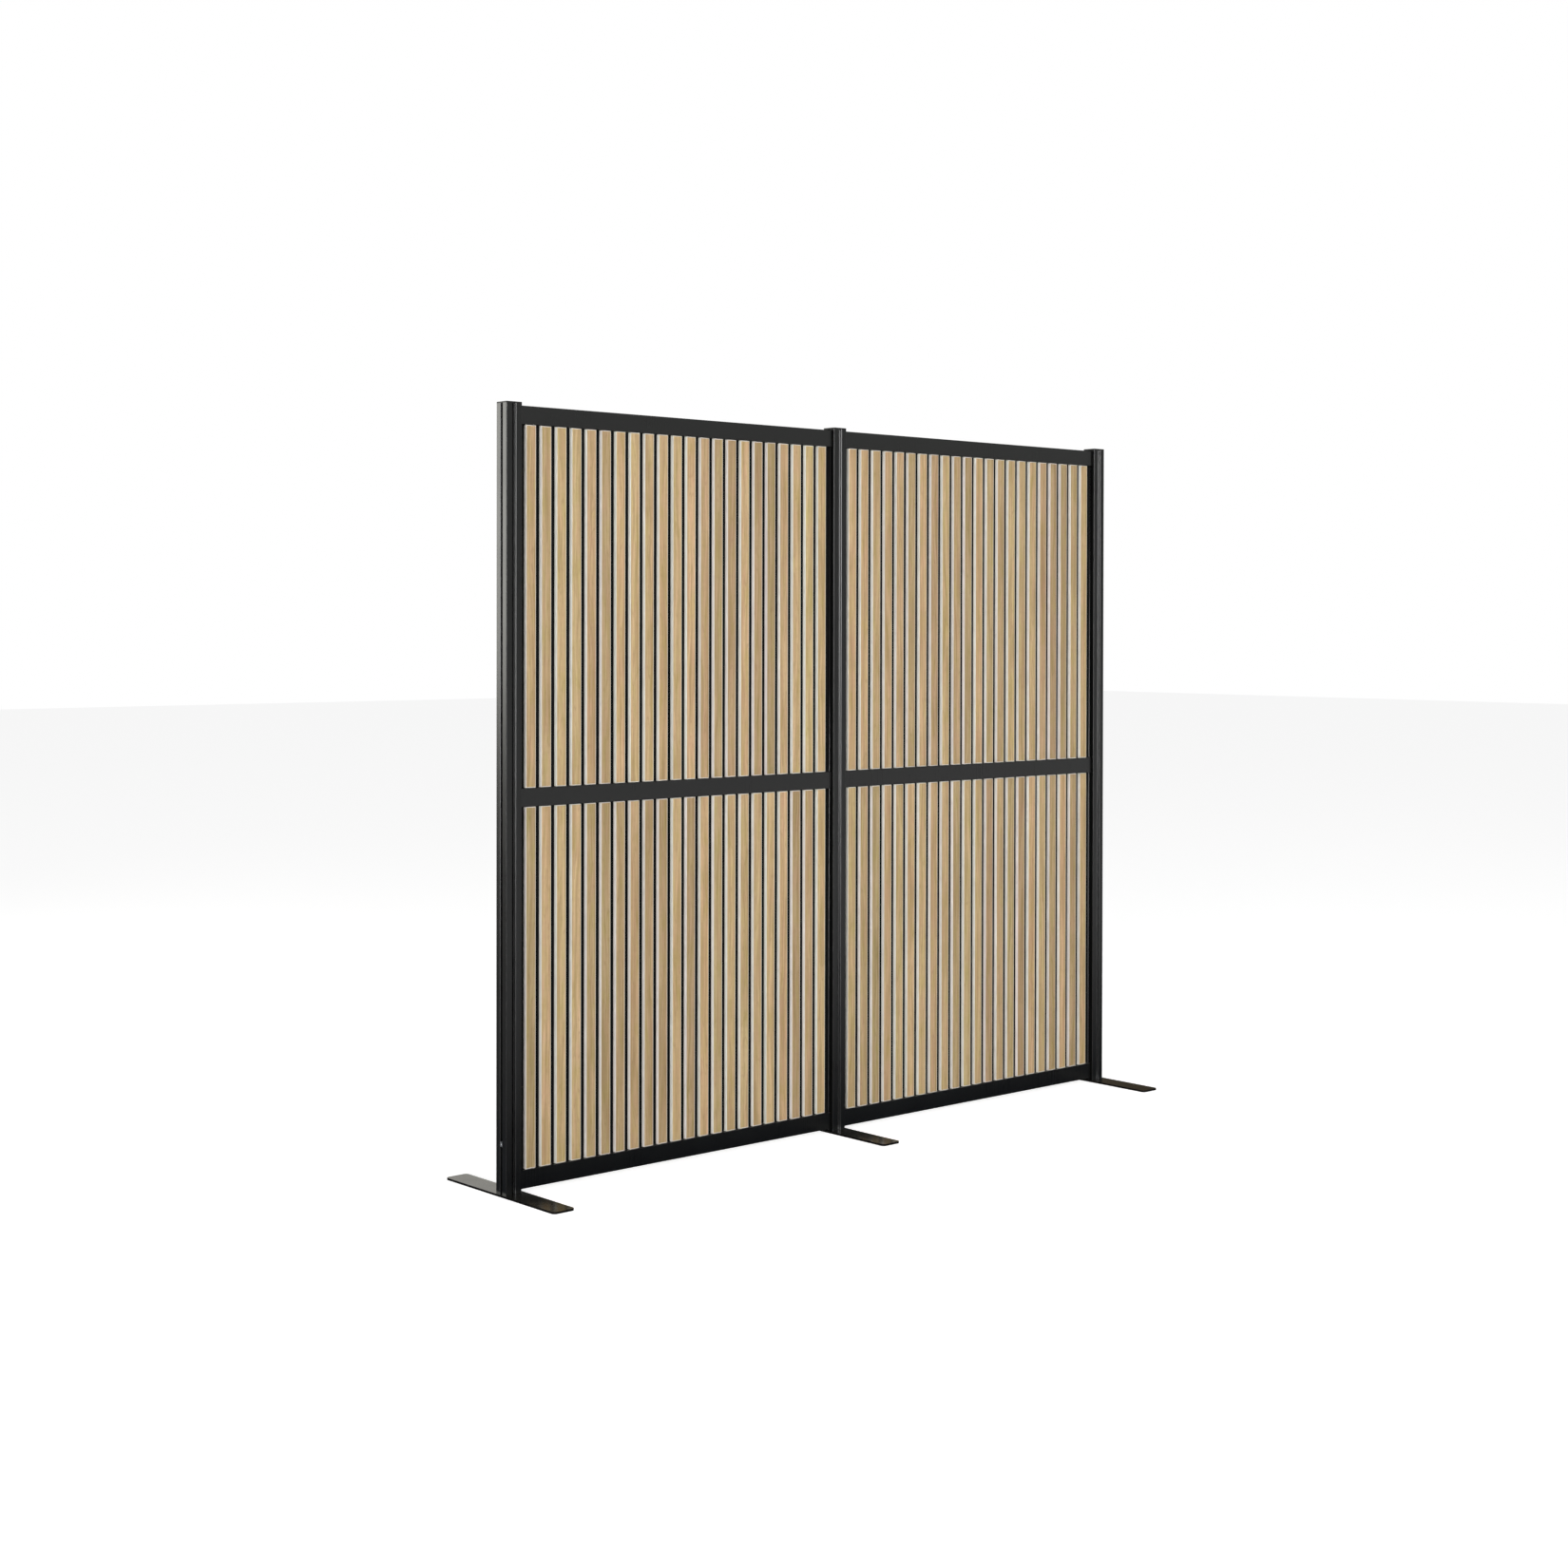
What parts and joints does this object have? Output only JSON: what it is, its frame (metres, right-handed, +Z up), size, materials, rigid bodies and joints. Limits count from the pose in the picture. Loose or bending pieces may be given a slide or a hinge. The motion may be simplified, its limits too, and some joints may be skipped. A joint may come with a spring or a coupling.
{
  "type": "office partition panel",
  "caption": "Free-standing screen with slotted square posts, rails, upright wood slats on felt boards and flat steel feet.",
  "frame": {"origin": "on the floor, under the middle of the partition's length and depth", "axes": "+X along the partition, -Y out of the slatted front, +Z up"},
  "size_m": [1.935, 0.43, 1.737],
  "materials": {
    "frame_black": "satin black anodised",
    "cap_plastic": "matt black moulded",
    "foot_steel": "black powder coat",
    "zinc_steel": "zinc plated",
    "felt": "pressed black felt",
    "oak": "matt lacquered oak veneer"
  },
  "bodies": {
    "root": {"left_post": "frame_black", "middle_post": "frame_black", "right_post": "frame_black", "left_post_cap": "cap_plastic", "middle_post_cap": "cap_plastic", "right_post_cap": "cap_plastic", "left_foot": "foot_steel", "middle_foot": "foot_steel", "right_foot": "foot_steel", "foot_screws": "zinc_steel", "left_top_rail": "frame_black", "left_middle_rail": "frame_black", "left_bottom_rail": "frame_black", "right_top_rail": "frame_black", "right_middle_rail": "frame_black", "right_bottom_rail": "frame_black", "left_upper_felt": "felt", "left_lower_felt": "felt", "right_upper_felt": "felt", "right_lower_felt": "felt", "left_upper_slats": "oak", "left_lower_slats": "oak", "right_upper_slats": "oak", "right_lower_slats": "oak", "rail_bolts": "zinc_steel", "slot_nuts": "zinc_steel", "lock_screws": "zinc_steel"}
  },
  "joints": []
}
